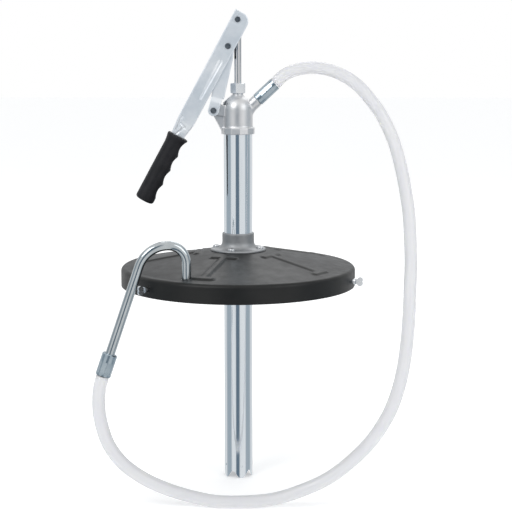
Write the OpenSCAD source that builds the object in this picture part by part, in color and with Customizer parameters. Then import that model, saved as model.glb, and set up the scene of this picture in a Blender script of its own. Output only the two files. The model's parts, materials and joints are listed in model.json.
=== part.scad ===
// Hand-operated fluid transfer pump on a pail cover, with its delivery hose and hooked nozzle.
// Millimetres. Z = 0 is the underside of the cover's edge, where it rests on the pail's rim.
// +X points to the hose outlet, -X to the handle, and the pump's axis is the Z axis.

/* [Pail cover] */
// Outer radius of the cover's skirt
cover_r = 157.5; // [157:0.1:158]
// Height of the skirt below the pail seat
skirt_h = 23.5; // [22:0.5:25]
// Thickness of the pressed sheet
sheet = 1.5; // [1.2:0.1:1.6]
// Number of raised ribs on the cone
rib_count = 5; // [3:1:5]
// Height of a rib above the cone
rib_h = 2.2; // [1:0.1:3]

/* [Pump tube] */
// Outer radius of the pump tube
tube_r = 19; // [18.9:0.01:19]
// Wall of the pump tube
tube_wall = 1.5; // [1.2:0.1:1.5]
// Depth of the inlet scallops in the foot
scallop_depth = 10.5; // [6:0.5:11]

/* [Handle and link] */
// Lean of the folded handle from the vertical
handle_lean = 28.5; // [28:0.1:29]
// Width of the handle channel across its side walls
handle_w = 26; // [26:0.1:27]
// Length of the rubber grip
grip_l = 98; // [95:1:105]
// Radius of the pivot pins
pin_r = 3; // [2.9:0.01:3]

/* [Hose] */
// Outer radius of the hose
hose_r = 8.25; // [8:0.05:8.3]
// Number of sides on the hose solid
hose_sides = 10; // [8:1:12]

/* [Hidden] */
$fn = 64;

// Pivots in the XZ plane
lug_at = [-32.1, 209.6];
fulcrum_at = [-12.8, 293.8];
rod_pin_at = [0, 328.2];
link_len = norm(fulcrum_at - lug_at);
link_lean = atan2(fulcrum_at[0] - lug_at[0], fulcrum_at[1] - lug_at[1]);
pin_fit = 0.02;
pin_run = 0.08;

// Cover
centre_z = 22;
centre_flat_r = 40;
seat_r = 146;
bend_r = 5.5;
cover_hole_r = 21;
nozzle_hole_r = 6.7;
rib_first = -37;

// Collar and its screws
flange_r = 37.3;
flange_t = 3;
collar_r = 21.4;
collar_top = 46;
collar_screw_pcr = 30.5;
collar_screw_first = -16;
screw_r = 2.5;

// Thumb screws through the skirt
thumb_angles = [-17, -137, 103];
thumb_z = -13;
thumb_r = 3;
thumb_gap = 0.3;

// Tube and head
foot_z = -291.5;
scallop_count = 5;
scallop_first = -113;
tube_top = 185;
head_base = 178.2;
ring_top = 186.7;
dome_z = 209.7;
dome_r = 19.6;
neck_top = 231.8;
nut_top = 245.2;
gland_r = 6.3;
rod_r = 4.75;
cavity_r = 16.2;
boss_r = 9.5;
outlet_z = 198.8;
outlet_rise = 43;
stub_r = 8.15;
stub_end = 35.3;
ferrule_end = 67;

// Nozzle, in its own upright plane: s runs outwards from the hole in the cover
nozzle_at = [-64, -119];
nozzle_turn = 190;
nozzle_r = 6;
nozzle_bore = 4.75;
nozzle_tip_z = -16;
leg_top = 23;
bend_1 = 23;
bend_gap = 1;
bend_2 = 38;
bend_2_angle = 71;
nozzle_straight = 146;
nozzle_ferrule_start = 117;

// Valves and piston
seat_top = -270;
ball_r = 8;
seat_bore = 6;
piston_top = -180;
stop_z = -173;

// Handle, in its own frame: x across the channel, z up its length from the rod pin
handle_t = 2.5;
web_x = -8.8;
lip_x = 14.8;
nose_z = 10.8;
nose_r = 12;
channel_end = -150;
neck_end = -172;
tang_end = -262;

// Link, in its own frame: x across the channel, z from the lug pin towards the fulcrum pin
link_t = 2.4;
link_half = 10.2;
ear_in = 10.3;

// Route of the hose from the outlet ferrule to the nozzle ferrule
hose_route = [
    [49.4, 0, 244.9], [60.7, 0, 255.4], [76, 0, 262.5], [95, -1, 265.5], [115, -3, 264], [135, -5, 257.5],
    [154, -8, 246], [170, -12, 230], [189, -20, 204], [204, -28, 172], [213, -38, 140], [219, -48, 108],
    [223, -58, 77], [224, -70, 46], [224, -82, 15], [222, -94, -16], [220, -106, -46], [217, -116, -77],
    [212, -126, -109], [204, -134, -140], [192, -140, -169], [173, -143, -199], [148, -144, -226],
    [118, -144, -250], [84, -143, -267], [48, -142, -279], [11, -141, -283.2], [-26, -140, -283.2],
    [-60, -138, -277], [-92, -137, -267], [-121, -137, -253], [-146, -137, -234], [-163, -137, -211],
    [-172, -137, -186], [-176, -137, -160], [-174.5, -137.5, -135], [-170, -138, -118.2]
];

zinc = [0.72, 0.76, 0.80];
bright = [0.82, 0.84, 0.86];
cast_grey = [0.66, 0.67, 0.68];
steel = [0.60, 0.61, 0.62];
black_paint = [0.07, 0.075, 0.075];
rubber_black = [0.05, 0.05, 0.06];
clear_pvc = [0.86, 0.87, 0.91, 0.6];

function arc_points(cx, cy, r, from, to, steps) =
    [for (i = [0 : steps]) [cx + r * cos(from + (to - from) * i / steps), cy + r * sin(from + (to - from) * i / steps)]];

function unit(v) = v / norm(v);

// Turns an outline drawn in x and z into a plate that is centred on the XZ plane
module plate(thickness) {
    rotate([90, 0, 0])
        linear_extrude(thickness, center = true)
            children();
}

// Puts a plate on each side of the XZ plane, from y = inner to y = outer
module pair_of_plates(inner, outer) {
    for (side = [-1, 1])
        translate([0, side * (inner + outer) / 2, 0])
            plate(outer - inner)
                children();
}

// Straight round bar along Y, centred
module cross_bar(r, length) {
    rotate([90, 0, 0])
        cylinder(r = r, h = length, center = true);
}

module hexagon(across_flats, height) {
    cylinder(r = across_flats / 2 / cos(30), h = height, $fn = 6);
}

// Solid under the cover's outer or inner surface, lowered by drop
module cover_form(drop, inset, raise) {
    rotate_extrude($fn = 128)
        polygon(concat(
            [[0, -skirt_h - inset], [0, centre_z - drop + raise], [centre_flat_r, centre_z - drop + raise],
             [seat_r, sheet - drop + raise]],
            arc_points(cover_r - bend_r, sheet - bend_r + raise, bend_r - drop, 90, 0, 5),
            [[cover_r - drop, -skirt_h - inset]]));
}

// Outline of one rib: a stem with a cross bar at each end, drawn along +X
module rib_outline(trim) {
    bar_half = 16;
    bar_r = 6.5 - trim;
    foot_half = 19;
    foot_bar_r = 5.5 - trim;
    for (end = [[133, bar_half, bar_r], [55, foot_half, foot_bar_r]]) {
        for (side = [-1, 1])
            translate([end[0], side * (end[1] - end[2])])
                circle(r = end[2]);
        translate([end[0] - end[2], -(end[1] - end[2])])
            square([2 * end[2], 2 * (end[1] - end[2])]);
    }
    translate([55, -bar_r])
        square([78, 2 * bar_r]);
}

module ribs(trim) {
    for (i = [0 : rib_count - 1])
        rotate(rib_first + i * 360 / rib_count)
            translate([0, 0, -skirt_h])
                linear_extrude(skirt_h + centre_z + 10)
                    rib_outline(trim);
}

module collar_screw_places() {
    for (i = [0 : 3])
        rotate(collar_screw_first + 90 * i)
            translate([collar_screw_pcr, 0, 0])
                children();
}

// Frame of a thumb screw: +X runs out through the skirt
module thumb_place(angle) {
    rotate(angle)
        translate([0, 0, thumb_z])
            children();
}

module pail_cover() color(black_paint) {
    difference() {
        union() {
            cover_form(0, 0, 0);
            intersection() {
                cover_form(0, 0, rib_h);
                ribs(0);
            }
        }
        cover_form(sheet, 1, 0);
        intersection() {
            cover_form(sheet, 1, rib_h);
            ribs(sheet);
        }
        cylinder(r = cover_hole_r, h = 60, center = true);
        collar_screw_places()
            cylinder(r = screw_r + 0.1, h = 60);
        translate([nozzle_at[0], nozzle_at[1], -5])
            cylinder(r = nozzle_hole_r, h = 30);
        for (angle = thumb_angles)
            thumb_place(angle)
                translate([cover_r - 10, 0, 0])
                    rotate([0, 90, 0])
                        cylinder(r = thumb_r + thumb_gap, h = 20);
    }
}

module cover_collar() color(cast_grey) {
    hub_r = cover_hole_r - 0.2;
    fillet = 9;
    difference() {
        rotate_extrude()
            polygon(concat(
                [[tube_r + 0.05, centre_z - sheet], [hub_r, centre_z - sheet], [hub_r, centre_z],
                 [flange_r, centre_z], [flange_r, centre_z + flange_t - 1], [flange_r - 1, centre_z + flange_t]],
                arc_points(collar_r + fillet, centre_z + flange_t + fillet, fillet, 270, 180, 6),
                [[collar_r, collar_top - 1], [collar_r - 0.8, collar_top], [tube_r + 0.05, collar_top]]));
        collar_screw_places()
            cylinder(r = screw_r + 0.1, h = 60);
        collar_screw_places()
            translate([0, 0, centre_z + flange_t])
                cylinder(r = 5.4, h = 12);
    }
}

module collar_screws() color(bright) {
    head_r = 4.9;
    head_h = 3.2;
    collar_screw_places()
        translate([0, 0, centre_z + flange_t])
            difference() {
                union() {
                    translate([0, 0, -11])
                        cylinder(r = screw_r, h = 11);
                    rotate_extrude()
                        polygon(concat([[0, 0], [head_r, 0], [head_r, 1]],
                            arc_points(head_r - 2.2, 1, 2.2, 0, 90, 4), [[0, head_h]]));
                }
                for (turn = [0, 90])
                    rotate(turn)
                        translate([-2.6, -0.5, head_h - 1.4])
                            cube([5.2, 1, 2]);
            }
}

module collar_nuts() color(steel) {
    collar_screw_places()
        translate([0, 0, centre_z - sheet - 4])
            difference() {
                hexagon(8, 4);
                translate([0, 0, -1])
                    cylinder(r = screw_r + 0.05, h = 6);
            }
}

module rim_nuts() color(steel) {
    for (angle = thumb_angles)
        thumb_place(angle)
            translate([cover_r - sheet - 5.8, 0, 0])
                rotate([0, 90, 0])
                    difference() {
                        hexagon(10, 5.5);
                        translate([0, 0, -1])
                            cylinder(r = thumb_r + thumb_gap, h = 8);
                    }
}

module thumb_screw(angle) color(zinc) {
    shank_start = cover_r - 12;
    collar_start = cover_r + 3;
    thumb_place(angle) {
        translate([shank_start + 1, 0, 0])
            rotate([0, 90, 0])
                cylinder(r = thumb_r, h = collar_start - shank_start);
        translate([shank_start, 0, 0])
            rotate([0, 90, 0])
                cylinder(r1 = thumb_r - 1, r2 = thumb_r, h = 1);
        translate([collar_start, 0, 0])
            rotate([0, 90, 0])
                cylinder(r = 3.9, h = 2);
        plate(3.2) {
            translate([collar_start + 1.5, -3])
                square([5, 6]);
            for (side = [-1, 1])
                translate([collar_start + 8, side * 2.4])
                    circle(r = 3.5);
            translate([collar_start + 6, 0])
                circle(r = 4);
        }
    }
}

module thumb_screw_right() { thumb_screw(thumb_angles[0]); }
module thumb_screw_left() { thumb_screw(thumb_angles[1]); }
module thumb_screw_rear() { thumb_screw(thumb_angles[2]); }

module pump_tube() color(zinc) {
    half_wave = 10.6;
    wave = [for (i = [-8 : 8]) [half_wave * i / 8, scallop_depth * (1 + cos(180 * i / 8)) / 2 - 0.3]];
    difference() {
        translate([0, 0, foot_z])
            cylinder(r = tube_r, h = tube_top - foot_z);
        translate([0, 0, foot_z - 1])
            cylinder(r = tube_r - tube_wall, h = tube_top - foot_z + 2);
        for (i = [0 : scallop_count - 1])
            rotate(scallop_first + i * 360 / scallop_count)
                translate([tube_r, 0, foot_z])
                    rotate([90, 0, 90])
                        linear_extrude(12, center = true)
                            polygon(concat([[-half_wave, -5]], wave, [[half_wave, -5]]));
        for (i = [0 : scallop_count - 1])
            rotate(scallop_first + (i + 0.5) * 360 / scallop_count)
                translate([tube_r - 0.6, 0, foot_z + 17])
                    rotate([0, 90, 0])
                        cylinder(r = 1.7, h = 5);
    }
}

// Frame of the outlet: +Z runs out of the stub
module outlet_place() {
    translate([0, 0, outlet_z])
        rotate([0, 90 - outlet_rise, 0])
            children();
}

module pump_head() color(cast_grey) {
    lug_half = 10;
    lug_r = 7;
    difference() {
        union() {
            translate([0, 0, head_base])
                rotate(7)
                    cylinder(r = 22.3, h = ring_top - head_base, $fn = 12);
            rotate_extrude()
                polygon(concat(
                    [[0, head_base + 1], [dome_r + 0.6, head_base + 1], [dome_r + 0.6, ring_top + 0.8],
                     [dome_r, ring_top + 2.2]],
                    arc_points(0, dome_z, dome_r, 0, 58, 9),
                    [[7.4, neck_top - 2.5], [6.8, neck_top], [0, neck_top]]));
            plate(2 * lug_half) {
                translate(lug_at)
                    circle(r = lug_r);
                polygon([lug_at + [-lug_r, 0], lug_at + [0, lug_r], [-12, lug_at[1] + lug_r],
                         [-12, lug_at[1] - 8], lug_at + [-3, -lug_r + 0.7]]);
            }
            plate(12)
                polygon([lug_at + [-1, -6], [-12, lug_at[1]], [-12, head_base + 3], [-21.5, head_base + 4]]);
            plate(5)
                polygon([[-5, neck_top - 0.5], [-9, neck_top - 2.5], [-19.5, 219.5], [-19.5, 214], [-5, 214]]);
            outlet_place()
                rotate_extrude()
                    polygon([[0, 12], [12, 12], [stub_r + 0.6, 22], [stub_r, 25], [stub_r, stub_end], [0, stub_end]]);
        }
        translate([0, 0, head_base - 1])
            cylinder(r = tube_r + pin_fit, h = tube_top + 0.7 - head_base + 1);
        rotate_extrude()
            polygon(concat(
                [[0, tube_top], [cavity_r, tube_top]],
                arc_points(0, dome_z, cavity_r, 0, acos(boss_r / cavity_r), 8),
                [[boss_r, dome_z + 2.5], [0, dome_z + 2.5]]));
        rotate_extrude()
            polygon([[0, dome_z], [rod_r + 0.55, dome_z], [rod_r + 0.55, neck_top - 16], [gland_r, neck_top - 16],
                     [gland_r, neck_top + 5], [0, neck_top + 5]]);
        outlet_place()
            cylinder(r = 5, h = 60);
        translate([lug_at[0], 0, lug_at[1]])
            cross_bar(pin_r + pin_fit, 40);
    }
}

module head_gasket() color(rubber_black) {
    translate([0, 0, tube_top + 0.05])
        difference() {
            cylinder(r = tube_r - 0.1, h = 0.6);
            translate([0, 0, -1])
                cylinder(r = cavity_r + 0.1, h = 3);
        }
}

module packing_rings() color(rubber_black) {
    for (i = [0 : 2])
        translate([0, 0, neck_top - 15.9 + 2.1 * i])
            difference() {
                cylinder(r = gland_r - 0.05, h = 2);
                translate([0, 0, -1])
                    cylinder(r = rod_r + pin_run, h = 4);
            }
}

module packing_nut() color(zinc) {
    across = 17.5;
    difference() {
        union() {
            translate([0, 0, neck_top - 9.4])
                cylinder(r = gland_r - 0.1, h = 10);
            rotate(-105)
                intersection() {
                    translate([0, 0, neck_top])
                        hexagon(across, nut_top - neck_top);
                    translate([0, 0, neck_top])
                        rotate_extrude()
                            polygon([[0, 0], [across / 2 - 0.2, 0], [across / 2 + 1.4, 1.1],
                                     [across / 2 + 1.4, nut_top - neck_top - 0.8],
                                     [across / 2, nut_top - neck_top], [0, nut_top - neck_top]]);
                }
        }
        translate([0, 0, neck_top - 12])
            cylinder(r = rod_r + 0.3, h = 40);
    }
}

module outlet_spigot() color(steel) {
    outlet_place()
        difference() {
            union() {
                translate([0, 0, 24])
                    cylinder(r = 4.95, h = ferrule_end - 1 - 24);
                for (barb = [42, 49, 56])
                    translate([0, 0, barb])
                        cylinder(r1 = 5.7, r2 = 4.9, h = 5);
            }
            translate([0, 0, 20])
                cylinder(r = 3.8, h = 60);
        }
}

// Crimped sleeve along +Z, with a plain collar, eight pressed flats and a plain lip
module crimped_ferrule(r, length, inlet_r, flat_from, flat_to) {
    difference() {
        union() {
            cylinder(r1 = r - 1, r2 = r, h = 1);
            translate([0, 0, 1])
                cylinder(r = r, h = flat_from - 1);
            translate([0, 0, flat_from])
                intersection() {
                    cylinder(r = r, h = flat_to - flat_from);
                    cylinder(r = (r - 0.45) / cos(22.5), h = flat_to - flat_from, $fn = 8);
                }
            translate([0, 0, flat_to])
                cylinder(r = r, h = length - flat_to);
        }
        translate([0, 0, -1])
            cylinder(r = inlet_r, h = length + 2);
        translate([0, 0, 2])
            cylinder(r = r - 1.3, h = length);
    }
}

module outlet_ferrule() color(bright) {
    start = stub_end + 0.1;
    outlet_place()
        translate([0, 0, start])
            crimped_ferrule(8.6, ferrule_end - start, 5, 8, 27);
}

// Hose solid: rings of points on planes square to the route, joined into one closed skin
module delivery_hose() color(clear_pvc) {
    last = len(hose_route) - 1;
    heading = [for (i = [0 : last]) unit(hose_route[min(i + 1, last)] - hose_route[max(i - 1, 0)])];
    across = [for (t = heading) unit(cross(t, [0, 1, 0]))];
    rings = [for (i = [0 : last]) for (k = [0 : hose_sides - 1])
        hose_route[i] + hose_r * (cos(360 * k / hose_sides) * across[i]
            + sin(360 * k / hose_sides) * cross(heading[i], across[i]))];
    walls = [for (i = [0 : last - 1]) for (k = [0 : hose_sides - 1])
        let (a = i * hose_sides + k, b = i * hose_sides + (k + 1) % hose_sides)
        [a, a + hose_sides, b + hose_sides, b]];
    caps = [[for (k = [0 : hose_sides - 1]) k], [for (k = [hose_sides - 1 : -1 : 0]) last * hose_sides + k]];
    polyhedron(rings, concat(walls, caps), convexity = 6);
}

// Wall of the nozzle's tube, drawn across it; grow thickens it both ways
module nozzle_ring(grow) {
    difference() {
        circle(r = nozzle_r + grow);
        circle(r = nozzle_bore - grow);
    }
}

// Frame of the second bend: origin at its centre, +X towards its lower end
module nozzle_bend_end_place() {
    translate([bend_1 + bend_gap, 0, leg_top + bend_1 - bend_2])
        rotate([90, 0, 0])
            rotate(90 - bend_2_angle)
                children();
}

// Frame of the nozzle's straight length: +Z runs down it towards the hose
module nozzle_end_place() {
    nozzle_bend_end_place()
        translate([bend_2, 0, 0])
            rotate([90, 0, 0])
                children();
}

module nozzle_place() {
    translate([nozzle_at[0], nozzle_at[1], 0])
        rotate(nozzle_turn)
            children();
}

module nozzle_tube() color(bright) {
    bead_l = bend_gap + 0.2;
    nozzle_place() {
        translate([0, 0, nozzle_tip_z])
            linear_extrude(leg_top - nozzle_tip_z)
                nozzle_ring(0);
        translate([bend_1, 0, leg_top])
            rotate([90, 0, 0])
                rotate(90)
                    rotate_extrude(angle = 90)
                        translate([bend_1, 0])
                            nozzle_ring(0);
        // A hairline bead holds the two bends together
        translate([bend_1 + bend_gap / 2 - bead_l / 2, 0, leg_top + bend_1])
            rotate([0, 90, 0])
                linear_extrude(bead_l)
                    nozzle_ring(0.01);
        nozzle_bend_end_place() {
            rotate_extrude(angle = bend_2_angle)
                translate([bend_2, 0])
                    nozzle_ring(0);
            translate([bend_2, 0, 0])
                rotate([90, 0, 0])
                    linear_extrude(nozzle_straight - 4)
                        nozzle_ring(0);
        }
    }
}

module nozzle_ferrule() color(bright) {
    nozzle_place()
        nozzle_end_place()
            translate([0, 0, nozzle_ferrule_start])
                crimped_ferrule(9.7, nozzle_straight - nozzle_ferrule_start, nozzle_r + 0.05, 11, 27);
}

module foot_valve_seat() color(steel) {
    height = 9;
    translate([0, 0, seat_top - height])
        difference() {
            cylinder(r = tube_r - tube_wall - 0.05, h = height);
            translate([0, 0, -1])
                cylinder(r = seat_bore, h = height + 2);
            translate([0, 0, -0.01])
                cylinder(r1 = 10, r2 = seat_bore, h = 4);
        }
}

module foot_valve_ball() color(bright) {
    translate([0, 0, seat_top + sqrt(ball_r * ball_r - seat_bore * seat_bore) + 0.02])
        sphere(r = ball_r);
}

module foot_valve_cage() color(steel) {
    leg_x = 10.5;
    difference() {
        translate([0, 0, seat_top])
            cylinder(r = tube_r - tube_wall - 0.1, h = 3);
        translate([0, 0, seat_top - 1])
            cylinder(r = 13.5, h = 5);
    }
    for (side = [-1, 1])
        translate([side * (leg_x + 1.75) - 1.75, -3, seat_top])
            cube([3.5, 6, 22]);
    translate([-leg_x - 3.5, -3, seat_top + 21])
        cube([2 * leg_x + 7, 6, 2.5]);
}

module piston_rod() color(bright) {
    eye_r = 5;
    eye_half = 5;
    difference() {
        union() {
            translate([0, 0, piston_top])
                cylinder(r = rod_r, h = rod_pin_at[1] - 3.5 - piston_top);
            translate([0, 0, piston_top - 19])
                cylinder(r = 4, h = 20);
            translate([0, 0, rod_pin_at[1]])
                cross_bar(eye_r, 2 * eye_half);
        }
        translate([0, 0, rod_pin_at[1]])
            cross_bar(pin_r + 0.3, 30);
    }
}

module valve_stop_ring() color(steel) {
    translate([0, 0, stop_z])
        difference() {
            cylinder(r = 7.5, h = 1.5);
            translate([0, 0, -1])
                cylinder(r = rod_r + 0.02, h = 4);
        }
}

module piston_valve_disc() color(steel) {
    translate([0, 0, piston_top + 0.02])
        difference() {
            cylinder(r = 12.5, h = 1.5);
            translate([0, 0, -1])
                cylinder(r = rod_r + 0.3, h = 4);
        }
}

module port_holes() {
    for (i = [0 : 5])
        rotate(60 * i)
            translate([9.3, 0, -20])
                cylinder(r = 2.2, h = 40);
}

module piston_body() color(cast_grey) {
    translate([0, 0, piston_top - 8])
        difference() {
            cylinder(r = 15, h = 8);
            port_holes();
            translate([0, 0, -1])
                cylinder(r = 4.05, h = 10);
        }
}

module piston_cup() color(rubber_black) {
    translate([0, 0, piston_top - 10])
        difference() {
            cylinder(r = tube_r - tube_wall - pin_run, h = 8);
            translate([0, 0, 2])
                cylinder(r = 15.05, h = 8);
            port_holes();
            translate([0, 0, -1])
                cylinder(r = 4.05, h = 10);
        }
}

module piston_washer() color(steel) {
    translate([0, 0, piston_top - 11.5])
        difference() {
            cylinder(r = 6.6, h = 1.5);
            translate([0, 0, -1])
                cylinder(r = 4.05, h = 4);
        }
}

module piston_nut() color(steel) {
    translate([0, 0, piston_top - 17.5])
        difference() {
            hexagon(12, 6);
            translate([0, 0, -1])
                cylinder(r = 4.05, h = 8);
        }
}

module lug_pin() color(zinc) {
    translate([lug_at[0], 0, lug_at[1]]) {
        difference() {
            translate([0, 1, 0])
                cross_bar(pin_r, 28);
            translate([0, 13.3, 0])
                difference() {
                    cross_bar(pin_r + 1, 0.9);
                    cross_bar(pin_r - 0.5, 2);
                }
        }
        translate([0, -13.8, 0])
            cross_bar(3.9, 2);
    }
}

module lug_pin_clip() color(steel) {
    translate([lug_at[0], 13.3, lug_at[1]])
        difference() {
            cross_bar(5, 0.8);
            cross_bar(pin_r - 0.45, 3);
            translate([-1.6, -2, -7])
                cube([3.2, 4, 5]);
        }
}

// Frame of the swinging link: origin on the lug pin, +Z towards the fulcrum pin
module link_place() {
    translate([lug_at[0], 0, lug_at[1]])
        rotate([0, link_lean, 0])
            children();
}

module swing_link() color(zinc) {
    edge_l = -7;
    edge_r = 10;
    joggle_z = [11, 17];
    top_r = 8;
    ear_r = 7.4;
    web_top = 71;
    link_place()
        difference() {
            union() {
                pair_of_plates(link_half - link_t, link_half) {
                    polygon([[edge_l, joggle_z[1]], [edge_r, joggle_z[1]], [edge_r, web_top],
                             [top_r, link_len], [-top_r, link_len]]);
                    translate([0, link_len])
                        circle(r = top_r);
                }
                translate([edge_r - link_t, -link_half, joggle_z[1]])
                    cube([link_t, 2 * link_half, web_top - joggle_z[1]]);
                for (side = [0, 1])
                    mirror([0, side, 0])
                        translate([edge_l, 0, 0])
                            rotate([90, 0, 90])
                                linear_extrude(ear_r - edge_l)
                                    polygon([[link_half - link_t, joggle_z[1] + 0.5], [link_half, joggle_z[1] + 0.5],
                                             [ear_in + link_t, joggle_z[0]], [ear_in + link_t, joggle_z[0] - 1],
                                             [ear_in, joggle_z[0] - 1]]);
                pair_of_plates(ear_in, ear_in + link_t) {
                    circle(r = ear_r);
                    translate([edge_l, 0])
                        square([ear_r - edge_l, joggle_z[0]]);
                }
            }
            cross_bar(pin_r + pin_run, 60);
            translate([0, 0, link_len])
                cross_bar(pin_r + pin_run, 60);
        }
}

module fulcrum_pin() color(bright) {
    translate([fulcrum_at[0], 0, fulcrum_at[1]]) {
        cross_bar(pin_r, handle_w);
        for (side = [-1, 1])
            translate([0, side * (handle_w / 2 + 0.6), 0])
                cross_bar(3.8, 1.2);
    }
}

// The rod pin is drawn as two headed studs that stop just short of the rod's eye
module rod_pin_studs() color(bright) {
    stud_end = 5.3;
    inner = handle_w / 2 - handle_t;
    translate([rod_pin_at[0], 0, rod_pin_at[1]])
        for (side = [-1, 1]) {
            translate([0, side * (handle_w / 2 + stud_end) / 2, 0])
                cross_bar(pin_r, handle_w / 2 - stud_end);
            translate([0, side * (inner + stud_end) / 2, 0])
                cross_bar(4.4, inner - stud_end);
            translate([0, side * (handle_w / 2 + 0.6), 0])
                cross_bar(3.6, 1.2);
        }
}

// Frame of the handle: origin on the rod pin, +Z up the handle, +X towards its open side
module handle_place() {
    translate([rod_pin_at[0], 0, rod_pin_at[1]])
        rotate([0, handle_lean, 0])
            children();
}

// Outline of the handle from the side; inset moves the back wall in
module handle_side(inset) {
    polygon(concat(
        [[web_x + inset, nose_z + inset]],
        arc_points(lip_x + inset - nose_r, nose_z + inset - nose_r, nose_r, 90, 0, 8),
        [[lip_x + inset, channel_end], [11.6 + inset, neck_end + 4], [11.6 + inset, neck_end],
         [-7 + inset, neck_end], [web_x + inset, channel_end]]));
}

// Outline of the handle from the front, with half-width half in the channel
module handle_front(half) {
    neck_half = half - 5;
    polygon([[-half, nose_z + 5], [half, nose_z + 5], [half, channel_end], [neck_half, neck_end + 6],
             [neck_half, neck_end - 5], [-neck_half, neck_end - 5], [-neck_half, neck_end + 6],
             [-half, channel_end]]);
}

module handle_form(half, inset) {
    intersection() {
        plate(60)
            handle_side(inset);
        rotate([90, 0, 90])
            linear_extrude(80, center = true)
                handle_front(half);
    }
}

// Tapering groove pressed into each side wall
module handle_groove() {
    groove_x = 6.2;
    depth = 0.9;
    pair_of_plates(handle_w / 2 - depth, handle_w / 2 + 2) {
        translate([groove_x, -59])
            circle(r = 2.3);
        translate([groove_x, -114])
            circle(r = 0.9);
        polygon([[groove_x - 2.3, -59], [groove_x + 2.3, -59], [groove_x + 0.9, -114], [groove_x - 0.9, -114]]);
    }
}

module handle_channel() color(zinc) {
    half = handle_w / 2;
    tang_half = 6.5;
    local_fulcrum = [for (v = [fulcrum_at - rod_pin_at])
        [v[0] * cos(handle_lean) - v[1] * sin(handle_lean), v[0] * sin(handle_lean) + v[1] * cos(handle_lean)]][0];
    handle_place()
        difference() {
            union() {
                difference() {
                    handle_form(half, 0);
                    handle_form(half - handle_t, handle_t);
                }
                difference() {
                    translate([-5.5, -tang_half, tang_end])
                        cube([17, 2 * tang_half, neck_end - tang_end + 2]);
                    translate([-5.5 + handle_t, -tang_half + handle_t, tang_end - 1])
                        cube([20, 2 * (tang_half - handle_t), neck_end - tang_end + 4]);
                }
            }
            handle_groove();
            cross_bar(pin_r + pin_fit, 60);
            translate([local_fulcrum[0], 0, local_fulcrum[1]])
                cross_bar(pin_r + pin_fit, 60);
        }
}

module handle_grip() color(rubber_black) {
    grip_r = 12.9;
    flare_r = 14.5;
    axis_x = 3;
    groove_r = 21;
    groove_depth = 2.8;
    handle_place()
        difference() {
            translate([axis_x, 0, neck_end - grip_l])
                rotate_extrude()
                    polygon(concat(
                        [[0, 0]],
                        arc_points(grip_r - 3.5, 3.5, 3.5, 270, 360, 5),
                        [[grip_r, grip_l - 14], [grip_r + 0.4, grip_l - 9], [flare_r, grip_l - 3],
                         [flare_r, grip_l - 1], [flare_r - 1, grip_l], [0, grip_l]]));
            for (i = [0 : 3])
                translate([axis_x + grip_r + groove_r - groove_depth, 0, neck_end - 14.5 - 21.3 * i])
                    cross_bar(groove_r, 60);
            translate([-5.6, -6.6, tang_end - 0.5])
                cube([17.2, 13.2, 200]);
        }
}

pail_cover();
cover_collar();
collar_screws();
collar_nuts();
rim_nuts();
thumb_screw_right();
thumb_screw_left();
thumb_screw_rear();
pump_tube();
pump_head();
head_gasket();
packing_rings();
packing_nut();
outlet_spigot();
outlet_ferrule();
delivery_hose();
nozzle_tube();
nozzle_ferrule();
foot_valve_seat();
foot_valve_ball();
foot_valve_cage();
piston_rod();
valve_stop_ring();
piston_valve_disc();
piston_body();
piston_cup();
piston_washer();
piston_nut();
lug_pin();
lug_pin_clip();
swing_link();
fulcrum_pin();
rod_pin_studs();
handle_channel();
handle_grip();
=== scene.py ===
"""Looks of the pail fluid transfer pump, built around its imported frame. +Z is up, -Y is the front.

The frame is in metres. The sizes below are in millimetres, except where a comment says otherwise.
"""
import json
import math

import bmesh
import bpy
from mathutils import Matrix, Vector


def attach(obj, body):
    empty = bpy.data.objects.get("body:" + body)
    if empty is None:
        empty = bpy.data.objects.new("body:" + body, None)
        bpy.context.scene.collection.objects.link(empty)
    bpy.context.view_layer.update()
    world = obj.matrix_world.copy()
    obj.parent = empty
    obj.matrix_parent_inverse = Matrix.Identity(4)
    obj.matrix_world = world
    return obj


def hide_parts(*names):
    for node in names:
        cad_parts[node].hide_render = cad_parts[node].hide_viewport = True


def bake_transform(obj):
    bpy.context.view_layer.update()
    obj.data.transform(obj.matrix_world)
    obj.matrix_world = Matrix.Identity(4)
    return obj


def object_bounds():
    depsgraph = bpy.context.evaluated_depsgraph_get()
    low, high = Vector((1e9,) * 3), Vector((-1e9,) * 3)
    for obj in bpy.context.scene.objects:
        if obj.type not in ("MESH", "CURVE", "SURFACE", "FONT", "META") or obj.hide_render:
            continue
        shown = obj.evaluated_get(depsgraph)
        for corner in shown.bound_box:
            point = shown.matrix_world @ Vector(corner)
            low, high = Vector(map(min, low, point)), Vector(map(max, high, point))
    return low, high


MM = 0.001

# Camera, in metres and degrees: the view that shows the whole pump and its hose
CAMERA_AT = (0.024, -1.871, 0.3066)
CAMERA_PITCH = 8.9
CAMERA_LENS = 98.7

# Studio walls: (bearing in degrees from the front, colour), with two dark sides and a dark gap in front
WORLD_STRENGTH = 0.8
BRIGHT = (1.0, 1.0, 1.0)
GAP = (0.17, 0.23, 0.29)
SIDE = (0.46, 0.52, 0.57)
BACK = (0.8, 0.82, 0.84)
WALLS = [
    (-180, BACK), (-120, BRIGHT), (-100, SIDE), (-62, SIDE), (-57, BRIGHT), (-21, BRIGHT), (-16, GAP),
    (7, GAP), (12, BRIGHT), (58, BRIGHT), (64, SIDE), (105, SIDE), (125, BRIGHT), (180, BACK),
]
# The walls fade to a white ceiling between these heights on a sphere of radius 1
CEILING_FROM = 0.55
CEILING_TO = 0.8

# Lamps: name, place and size in metres, and power in watts
LAMPS = [
    ("key", (-1.6, -1.9, 2.2), 1.4, 22),
    ("fill", (1.9, -1.5, 1.3), 1.6, 10),
    ("rim", (0.3, 2.0, 2.0), 1.8, 14),
]
LAMP_TARGET = (0, 0, 0.05)

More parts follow.
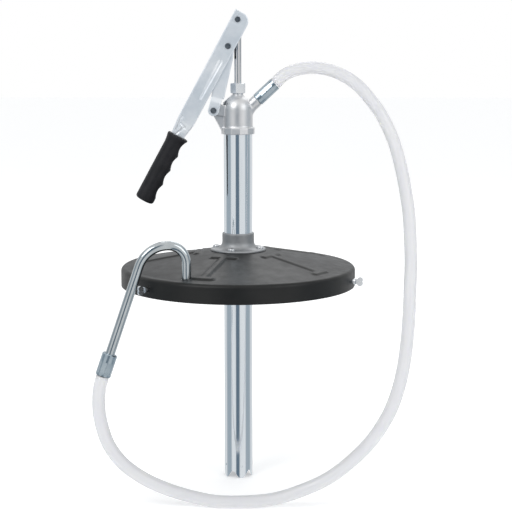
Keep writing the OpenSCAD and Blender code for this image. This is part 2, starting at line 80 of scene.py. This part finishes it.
# Floor, in metres, just under the pump
FLOOR_HALF = 12
FLOOR_DROP = 0.02 * MM

# Cover: a cone with a flat centre, bent down into a skirt
COVER_R = 157.5
SKIRT_H = 23.5
SHEET = 1.5
CENTRE_FLAT_R = 40
CENTRE_Z = 22
SEAT_R = 146
BEND_R = 5.5
BORE_R = 20.7
COVER_SIDES = 720
CONE_STEP = 1.15
BEND_STEPS = 10
FLAT_RINGS = (BORE_R, 30, 38)
SKIRT_RINGS = (-7, -10, -14, -18, -21.5, -23.0, -SKIRT_H)

# Ribs of the cover, stamped up, each made of bars in its own frame: u outwards and v across.
# A bar has its two ends, its half-width and the softness of its edges.
RIB_FIRST = -37
RIB_COUNT = 5
RIB_H = 2.0
RIB_IN = 55
RIB_OUT = 133
RIB_BARS = [
    (RIB_IN, 0, RIB_OUT, 0, 4.8, 2.8),
    (RIB_OUT, -10.5, RIB_OUT, 10.5, 4.8, 2.9),
    (RIB_IN, -14.5, RIB_IN, 14.5, 4.2, 2.7),
]

# Holes in the cover: one for the nozzle, and one for each thumb screw at its bearing in degrees
NOZZLE_AT = (-64, -119)
NOZZLE_HOLE_R = 6.7
NOZZLE_CUT_Z = 5
NOZZLE_CUT_LENGTH = 30
SCREW_BEARINGS = (-17, -137, 103)
SCREW_HOLE_R = 3.4
SCREW_CUT_R = 157
SCREW_CUT_Z = -13
SCREW_CUT_LENGTH = 12

# Handle at rest, with its lean in degrees. Its own frame has u across the channel and w up its length from
# the rod pin. A crease is a line in that frame, between two points.
ROD_PIN_AT = (0, 328.2)
HANDLE_LEAN = 28.5
CREASE_FROM_W = -180
CREASE_TO_W = -130
CREASE_HALF = 1.1
CREASE_EDGE = 1.0
CREASE_DEPTH = 1.3
NECK_CREASES = [
    (-4.6, -147, -4.0, -154), (-4.0, -154, 6.5, -158), (-4.0, -154, -2.5, -171), (4.5, -158.5, -1.0, -171),
]

# Hose: its radii in metres, and its route from the outlet ferrule to the nozzle ferrule
HOSE_R = 8.25 * MM
HOSE_BORE_R = 5.2 * MM
HOSE_ROUTE = [
    (49.4, 0, 244.9), (60.7, 0, 255.4), (76, 0, 262.5), (95, -1, 265.5), (115, -3, 264), (135, -5, 257.5),
    (154, -8, 246), (170, -12, 230), (189, -20, 204), (204, -28, 172), (213, -38, 140), (219, -48, 108),
    (223, -58, 77), (224, -70, 46), (224, -82, 15), (222, -94, -16), (220, -106, -46), (217, -116, -77),
    (212, -126, -109), (204, -134, -140), (192, -140, -169), (173, -143, -199), (148, -144, -226),
    (118, -144, -250), (84, -143, -267), (48, -142, -279), (11, -141, -283.2), (-26, -140, -283.2),
    (-60, -138, -277), (-92, -137, -267), (-121, -137, -253), (-146, -137, -234), (-163, -137, -211),
    (-172, -137, -186), (-176, -137, -160), (-174.5, -137.5, -135), (-170, -138, -118.2),
]

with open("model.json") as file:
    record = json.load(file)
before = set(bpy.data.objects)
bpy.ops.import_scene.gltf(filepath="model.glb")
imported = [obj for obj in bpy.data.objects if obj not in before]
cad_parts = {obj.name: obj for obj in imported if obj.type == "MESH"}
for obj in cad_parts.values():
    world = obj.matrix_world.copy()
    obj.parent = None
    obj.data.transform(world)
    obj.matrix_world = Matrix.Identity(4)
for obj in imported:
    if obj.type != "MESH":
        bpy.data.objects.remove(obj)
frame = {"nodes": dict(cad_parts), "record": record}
cad_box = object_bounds()
nodes = frame["nodes"]


# ---------- small helpers ----------

def smoothstep(low, high, x):
    t = min(1.0, max(0.0, (x - low) / (high - low)))
    return t * t * (3 - 2 * t)


def capsule_height(x, y, x0, y0, x1, y1, half, edge):
    """Height from 0 to 1 of a raised bar between two points, with soft sides."""
    dx, dy = x1 - x0, y1 - y0
    t = max(0.0, min(1.0, ((x - x0) * dx + (y - y0) * dy) / (dx * dx + dy * dy)))
    away = math.hypot(x - x0 - t * dx, y - y0 - t * dy)
    return 1 - smoothstep(half - edge, half + edge, away)


def new_object(name, data):
    obj = bpy.data.objects.new(name, data)
    bpy.context.scene.collection.objects.link(obj)
    return obj


def mesh_object(name, verts, faces):
    mesh = bpy.data.meshes.new(name)
    mesh.from_pydata(verts, [], faces)
    mesh.update()
    mesh.shade_smooth()
    return new_object(name, mesh)


def apply_modifiers(obj):
    depsgraph = bpy.context.evaluated_depsgraph_get()
    mesh = bpy.data.meshes.new_from_object(obj.evaluated_get(depsgraph))
    obj.modifiers.clear()
    obj.data = mesh


def paint(obj, material):
    obj.data.materials.clear()
    obj.data.materials.append(material)


# ---------- materials ----------

def start_material(name):
    material = bpy.data.materials.new(name)
    material.use_nodes = True
    shader = material.node_tree.nodes["Principled BSDF"]
    return material, material.node_tree, shader


def object_noise(tree, scale, detail, stretch=(1, 1, 1)):
    """Noise in object space, stretched per axis."""
    coords = tree.nodes.new("ShaderNodeTexCoord")
    mapping = tree.nodes.new("ShaderNodeMapping")
    mapping.inputs["Scale"].default_value = stretch
    texture = tree.nodes.new("ShaderNodeTexNoise")
    texture.inputs["Scale"].default_value = scale
    texture.inputs["Detail"].default_value = detail
    texture.inputs["Roughness"].default_value = 0.55
    tree.links.new(coords.outputs["Object"], mapping.inputs["Vector"])
    tree.links.new(mapping.outputs["Vector"], texture.inputs["Vector"])
    return texture.outputs["Fac"]


def ramp(tree, source, stops):
    """Colour ramp over a 0 to 1 value; stops are (position, colour or grey)."""
    node = tree.nodes.new("ShaderNodeValToRGB")
    elements = node.color_ramp.elements
    while len(elements) < len(stops):
        elements.new(0.5)
    for element, (position, value) in zip(elements, stops):
        element.position = position
        colour = (value, value, value) if isinstance(value, (int, float)) else value
        element.color = (*colour, 1)
    tree.links.new(source, node.inputs["Fac"])
    return node.outputs["Color"]


def bump(tree, shader, source, height):
    """Bump whose full height is in millimetres."""
    node = tree.nodes.new("ShaderNodeBump")
    node.inputs["Strength"].default_value = 1.0
    node.inputs["Distance"].default_value = height * MM
    tree.links.new(source, node.inputs["Height"])
    tree.links.new(node.outputs["Normal"], shader.inputs["Normal"])


def surface(name, light, dark, rough, cloud, haze, grain, stretch=(1, 1, 1), light_at=0.75):
    """Material whose colour and roughness drift over the surface, with a fine grain in its bump.

    cloud, haze and grain are each the scale and detail of a noise, and grain ends with its height.
    """
    material, tree, shader = start_material(name)
    drift = object_noise(tree, *cloud, stretch)
    tree.links.new(ramp(tree, drift, [(0.3, dark), (light_at, light)]), shader.inputs["Base Color"])
    patches = object_noise(tree, *haze, stretch)
    tree.links.new(ramp(tree, patches, [(0.3, rough[0]), (0.75, rough[1])]), shader.inputs["Roughness"])
    grain_scale, grain_detail, grain_height = grain
    bump(tree, shader, object_noise(tree, grain_scale, grain_detail, stretch), grain_height)
    return material, shader


def metal(name, light, dark, rough, scale=60, grain=0.004, fine=900, stretch=(1, 1, 1), metallic=1.0):
    """Metal with patches of a size set by scale, and a grain with a scale of fine."""
    material, shader = surface(name, light, dark, rough, cloud=(scale, 5.0), haze=(scale * 1.7, 3.0),
                               grain=(fine, 3.0, grain), stretch=stretch, light_at=0.7)
    shader.inputs["Metallic"].default_value = metallic
    return material


def black_enamel():
    material, shader = surface("black_enamel", (0.013, 0.0135, 0.0135), (0.0075, 0.008, 0.008), (0.34, 0.46),
                               cloud=(25, 4.0), haze=(70, 5.0), grain=(650, 3.0, 0.03))
    shader.inputs["Specular IOR Level"].default_value = 0.32
    return material


def black_rubber():
    material, shader = surface("black_rubber", (0.016, 0.016, 0.019), (0.008, 0.008, 0.010), (0.42, 0.58),
                               cloud=(80, 4.0), haze=(160, 4.0), grain=(1100, 3.0, 0.05))
    shader.inputs["Specular IOR Level"].default_value = 0.3
    return material


def clear_vinyl():
    material, shader = surface("clear_vinyl", (0.97, 0.97, 0.98), (0.93, 0.93, 0.96), (0.16, 0.26),
                               cloud=(18, 3.0), haze=(60, 3.0), grain=(120, 2.0, 0.01))
    shader.inputs["IOR"].default_value = 1.45
    shader.inputs["Transmission Weight"].default_value = 0.25
    shader.inputs["Subsurface Weight"].default_value = 0.15
    shader.inputs["Subsurface Radius"].default_value = (0.004, 0.004, 0.005)
    return material


MATERIALS = {
    "black_paint": black_enamel(),
    "cast_collar": metal("cast_grey", (0.44, 0.45, 0.46), (0.38, 0.39, 0.40), (0.5, 0.62), 90, 0.03, 700),
    "die_cast": metal("die_cast", (0.83, 0.83, 0.84), (0.74, 0.75, 0.76), (0.38, 0.5), 40, 0.012, 650),
    "screw_steel": metal("screw_steel", (0.75, 0.76, 0.78), (0.62, 0.64, 0.66), (0.18, 0.3)),
    "plain_steel": metal("plain_steel", (0.55, 0.55, 0.56), (0.45, 0.45, 0.46), (0.3, 0.42)),
    "zinc_bright": metal("zinc_bright", (0.84, 0.86, 0.88), (0.72, 0.76, 0.80), (0.2, 0.3)),
    "galvanised_tube": metal("galvanised", (0.86, 0.91, 0.95), (0.78, 0.84, 0.89), (0.08, 0.14),
                             40, 0.001, 500, stretch=(6, 6, 0.25)),
    "bright_ferrule": metal("bright_ferrule", (0.52, 0.60, 0.65), (0.40, 0.48, 0.54), (0.24, 0.34)),
    "nozzle_plated": metal("nozzle_plated", (0.62, 0.66, 0.68), (0.50, 0.54, 0.56), (0.10, 0.18)),
    "ball_steel": metal("ball_steel", (0.80, 0.80, 0.82), (0.74, 0.74, 0.76), (0.08, 0.12)),
    "rod_chrome": metal("rod_chrome", (0.76, 0.76, 0.77), (0.68, 0.68, 0.69), (0.08, 0.16),
                        stretch=(3, 3, 0.4)),
    "link_zinc": metal("link_zinc", (0.88, 0.91, 0.94), (0.70, 0.76, 0.82), (0.34, 0.46), 26, 0.001,
                       metallic=0.5),
    "handle_zinc": metal("handle_zinc", (0.90, 0.93, 0.96), (0.66, 0.72, 0.78), (0.3, 0.42), 22, 0.001,
                         metallic=0.5),
    "black_rubber": black_rubber(),
    "grip_rubber": black_rubber(),
    "clear_hose": clear_vinyl(),
}

# The pins are painted darker than the rest of their slot, which is bright zinc: painted shade that stands in
# for the dark ring of shade round their heads, so that their heads stand out
PIN_NODES = ("lug_pin", "fulcrum_pin", "rod_pin_studs")
PIN_PAINTED_SHADE = metal("pin_steel_painted_shade", (0.34, 0.36, 0.38), (0.20, 0.22, 0.24), (0.25, 0.4), 300)


def dress_cad_nodes():
    for entry in frame["record"]["subparts"]:
        name = entry["node"]
        # the pins get the darker steel with painted shade, the rest get their slot's material
        paint(nodes[name], PIN_PAINTED_SHADE if name in PIN_NODES else MATERIALS[entry["material_slot"]])


# ---------- camera, light and floor ----------

def make_camera():
    data = bpy.data.cameras.new("camera")
    data.lens = CAMERA_LENS
    data.sensor_width = 36
    data.clip_end = 50
    camera = new_object("camera", data)
    camera.location = CAMERA_AT
    camera.rotation_euler = (math.radians(90 - CAMERA_PITCH), 0, 0)
    bpy.context.scene.camera = camera


def mix(tree, factor, first, second):
    """Blend from a colour socket to a fixed colour."""
    node = tree.nodes.new("ShaderNodeMixRGB")
    tree.links.new(factor, node.inputs["Fac"])
    tree.links.new(first, node.inputs["Color1"])
    node.inputs["Color2"].default_value = (*second, 1)
    return node.outputs["Color"]


def map_range(tree, source, low, high):
    node = tree.nodes.new("ShaderNodeMapRange")
    node.inputs["From Min"].default_value = low
    node.inputs["From Max"].default_value = high
    tree.links.new(source, node.inputs["Value"])
    return node.outputs["Result"]


def make_world():
    """White studio that carries dark stretches in reflections, and that the camera sees as plain white."""
    world = bpy.data.worlds.new("studio")
    world.use_nodes = True
    tree = world.node_tree
    coords = tree.nodes.new("ShaderNodeTexCoord")
    split = tree.nodes.new("ShaderNodeSeparateXYZ")
    tree.links.new(coords.outputs["Generated"], split.inputs["Vector"])
    minus_y = tree.nodes.new("ShaderNodeMath")
    minus_y.operation = "MULTIPLY"
    minus_y.inputs[1].default_value = -1
    tree.links.new(split.outputs["Y"], minus_y.inputs[0])
    bearing = tree.nodes.new("ShaderNodeMath")
    bearing.operation = "ARCTAN2"
    tree.links.new(split.outputs["X"], bearing.inputs[0])
    tree.links.new(minus_y.outputs[0], bearing.inputs[1])
    share = map_range(tree, bearing.outputs[0], -math.pi, math.pi)
    walls = ramp(tree, share, [(degrees / 360 + 0.5, colour) for degrees, colour in WALLS])
    ceiling = map_range(tree, split.outputs["Z"], CEILING_FROM, CEILING_TO)
    sky = mix(tree, ceiling, walls, BRIGHT)
    rays = tree.nodes.new("ShaderNodeLightPath")
    white = 1 / WORLD_STRENGTH
    seen = mix(tree, rays.outputs["Is Camera Ray"], sky, (white, white, white))
    background = tree.nodes["Background"]
    tree.links.new(seen, background.inputs["Color"])
    background.inputs["Strength"].default_value = WORLD_STRENGTH
    bpy.context.scene.world = world


def make_floor():
    material, _, shader = start_material("pale_floor")
    shader.inputs["Base Color"].default_value = (0.96, 0.96, 0.96, 1)
    shader.inputs["Roughness"].default_value = 0.9
    shader.inputs["Specular IOR Level"].default_value = 0.1
    shader.inputs["Emission Color"].default_value = (1, 1, 1, 1)
    shader.inputs["Emission Strength"].default_value = 0.3
    level = cad_box[0][2] - FLOOR_DROP
    corners = [(-1, -1), (1, -1), (1, 1), (-1, 1)]
    verts = [(x * FLOOR_HALF, y * FLOOR_HALF, level) for x, y in corners]
    floor = mesh_object("floor", verts, [(0, 1, 2, 3)])
    paint(floor, material)
    floor.visible_glossy = False


def make_lamps():
    for name, place, size, power in LAMPS:
        data = bpy.data.lights.new(name, "AREA")
        data.size = size
        data.energy = power
        lamp = new_object(name, data)
        lamp.location = place
        aim = Vector(LAMP_TARGET) - Vector(place)
        lamp.rotation_euler = aim.to_track_quat("-Z", "Y").to_euler()


# ---------- hose ----------

def smooth_route(points, step=4):
    """Catmull-Rom curve through the points, with step places in each stretch."""
    points = [Vector(p) * MM for p in points]
    ends = [2 * points[0] - points[1]] + points + [2 * points[-1] - points[-2]]
    path = []
    for a, b, c, d in zip(ends, ends[1:], ends[2:], ends[3:]):
        for k in range(step):
            t = k / step
            path.append(0.5 * ((2 * b) + (c - a) * t + (2 * a - 5 * b + 4 * c - d) * t ** 2
                               + (3 * b - a - 3 * c + d) * t ** 3))
    path.append(points[-1])
    return path


def tube_mesh(name, path, outer, inner, sides=32):
    """Hollow tube along a path, with square ends."""
    verts, faces = [], []
    side = Vector((0, 1, 0))
    count = len(path)
    for i, place in enumerate(path):
        heading = (path[min(i + 1, count - 1)] - path[max(i - 1, 0)]).normalized()
        side = (side - heading * side.dot(heading)).normalized()
        other = heading.cross(side)
        for radius in (outer, inner):
            for k in range(sides):
                a = 2 * math.pi * k / sides
                verts.append(place + radius * (math.cos(a) * side + math.sin(a) * other))
    ring = 2 * sides
    for i in range(count - 1):
        for k in range(sides):
            j = (k + 1) % sides
            a, b = i * ring, (i + 1) * ring
            faces.append((a + k, a + j, b + j, b + k))
            faces.append((b + sides + k, b + sides + j, a + sides + j, a + sides + k))
    last = (count - 1) * ring
    for k in range(sides):
        j = (k + 1) % sides
        faces.append((k, sides + k, sides + j, j))
        faces.append((last + j, last + sides + j, last + sides + k, last + k))
    return mesh_object(name, verts, faces)


def make_hose():
    path = smooth_route(HOSE_ROUTE)
    hose = tube_mesh("hose", path, HOSE_R, HOSE_BORE_R)
    paint(hose, MATERIALS["clear_hose"])
    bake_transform(hose)
    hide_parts("delivery_hose")


# ---------- cover ----------

def rib_height(x, y):
    """Height of the stamped ribs over the cone."""
    bearing = math.degrees(math.atan2(y, x))
    turn = 360 / RIB_COUNT
    local = math.radians((bearing - RIB_FIRST + turn / 2) % turn - turn / 2)
    r = math.hypot(x, y)
    u, v = r * math.cos(local), r * math.sin(local)
    return RIB_H * max(capsule_height(u, v, *bar) for bar in RIB_BARS)


def cover_profile():
    """Points of the outer skin as (r, z), from the bore out over the cone and down the skirt."""
    points = [(r, CENTRE_Z) for r in FLAT_RINGS]
    slope = (SHEET - CENTRE_Z) / (SEAT_R - CENTRE_FLAT_R)
    r = CENTRE_FLAT_R
    while r < SEAT_R:
        points.append((r, CENTRE_Z + slope * (r - CENTRE_FLAT_R)))
        r += CONE_STEP
    for k in range(BEND_STEPS + 1):
        a = math.radians(90 - 90 / BEND_STEPS * k)
        points.append((COVER_R - BEND_R + BEND_R * math.cos(a), SHEET - BEND_R + BEND_R * math.sin(a)))
    return points + [(COVER_R, z) for z in SKIRT_RINGS]


def skin_offset(profile, i):
    """Step in r and z from a point of the outer skin to the inner skin, square to the sheet."""
    before, after = profile[max(i - 1, 0)], profile[min(i + 1, len(profile) - 1)]
    run, rise = after[0] - before[0], after[1] - before[1]
    size = math.hypot(run, rise)
    return SHEET * rise / size, -SHEET * run / size


def skin_verts(profile, inner):
    """Rings of points of one skin, with the ribs raised on the cone."""
    verts = []
    for i, (r, z) in enumerate(profile):
        inset_r, inset_z = skin_offset(profile, i) if inner else (0, 0)
        skin_r = r + inset_r
        for k in range(COVER_SIDES):
            a = 2 * math.pi * k / COVER_SIDES
            lift = rib_height(r * math.cos(a), r * math.sin(a)) if r < SEAT_R else 0
            height = z + inset_z + lift
            verts.append((skin_r * math.cos(a) * MM, skin_r * math.sin(a) * MM, height * MM))
    return verts


def make_cover():
    profile = cover_profile()
    verts = skin_verts(profile, inner=False) + skin_verts(profile, inner=True)
    shell = len(profile) * COVER_SIDES
    last = shell - COVER_SIDES
    faces = []
    for i in range(len(profile) - 1):
        a, b = i * COVER_SIDES, (i + 1) * COVER_SIDES
        for k in range(COVER_SIDES):
            j = (k + 1) % COVER_SIDES
            faces.append((a + k, b + k, b + j, a + j))
            faces.append((shell + a + j, shell + b + j, shell + b + k, shell + a + k))
    for k in range(COVER_SIDES):
        j = (k + 1) % COVER_SIDES
        faces.append((last + k, shell + last + k, shell + last + j, last + j))
        faces.append((j, shell + j, shell + k, k))
    cover = mesh_object("cover_shell", verts, faces)
    cut_holes(cover)
    paint(cover, MATERIALS["black_paint"])
    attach(cover, "pump_base")
    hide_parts("pail_cover")


def cutter(place, axis, radius, length):
    mesh = bpy.data.meshes.new("cutter")
    shape = bmesh.new()
    turn = Vector((0, 0, 1)).rotation_difference(Vector(axis)).to_matrix().to_4x4()
    bmesh.ops.create_cone(shape, cap_ends=True, segments=48, radius1=radius * MM, radius2=radius * MM,
                          depth=length * MM, matrix=Matrix.Translation(Vector(place) * MM) @ turn)
    shape.to_mesh(mesh)
    shape.free()
    return new_object("cutter", mesh)


def cut_holes(cover):
    cutters = [cutter((*NOZZLE_AT, NOZZLE_CUT_Z), (0, 0, 1), NOZZLE_HOLE_R, NOZZLE_CUT_LENGTH)]
    for bearing in SCREW_BEARINGS:
        a = math.radians(bearing)
        out = (math.cos(a), math.sin(a), 0)
        place = (out[0] * SCREW_CUT_R, out[1] * SCREW_CUT_R, SCREW_CUT_Z)
        cutters.append(cutter(place, out, SCREW_HOLE_R, SCREW_CUT_LENGTH))
    for tool in cutters:
        modifier = cover.modifiers.new("hole", "BOOLEAN")
        modifier.object = tool
        modifier.solver = "EXACT"
    apply_modifiers(cover)
    for tool in cutters:
        bpy.data.objects.remove(tool)


# ---------- softened pressings and castings ----------

def neck_creases(mesh):
    """Press the Y-shaped crease into both sides of the handle where the channel narrows to its neck."""
    lean = math.radians(HANDLE_LEAN)
    pin_x, pin_z = ROD_PIN_AT
    for vert in mesh.vertices:
        x, z = vert.co.x / MM - pin_x, vert.co.z / MM - pin_z
        u = x * math.cos(lean) - z * math.sin(lean)
        w = x * math.sin(lean) + z * math.cos(lean)
        if CREASE_FROM_W < w < CREASE_TO_W:
            press = max(capsule_height(u, w, *line, CREASE_HALF, CREASE_EDGE) for line in NECK_CREASES)
            vert.co.y -= math.copysign(CREASE_DEPTH * MM * press, vert.co.y)


def soften(node_name, piece_name, body, slot, voxel, passes, press=None):
    """Copy of a CAD piece with its edges rounded: remeshed evenly, then relaxed."""
    source = nodes[node_name]
    piece = new_object(piece_name, source.data.copy())
    remesh = piece.modifiers.new("even", "REMESH")
    remesh.mode = "VOXEL"
    remesh.voxel_size = voxel * MM
    relax = piece.modifiers.new("relax", "SMOOTH")
    relax.factor = 0.5
    relax.iterations = passes
    apply_modifiers(piece)
    if press:
        press(piece.data)
    piece.data.shade_smooth()
    paint(piece, MATERIALS[slot])
    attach(piece, body)
    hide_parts(node_name)


make_camera()
make_world()
make_floor()
make_lamps()
dress_cad_nodes()
make_hose()
make_cover()
soften("pump_head", "head_casting", "pump_base", "die_cast", voxel=0.55, passes=5)
soften("cover_collar", "collar_casting", "pump_base", "cast_collar", voxel=0.5, passes=5)
soften("handle_channel", "handle_pressing", "handle", "handle_zinc", voxel=0.55, passes=12,
       press=neck_creases)
soften("swing_link", "link_pressing", "link", "link_zinc", voxel=0.45, passes=9)
soften("handle_grip", "rubber_grip", "handle", "grip_rubber", voxel=0.6, passes=6)

bpy.context.scene.view_settings.view_transform = "Standard"
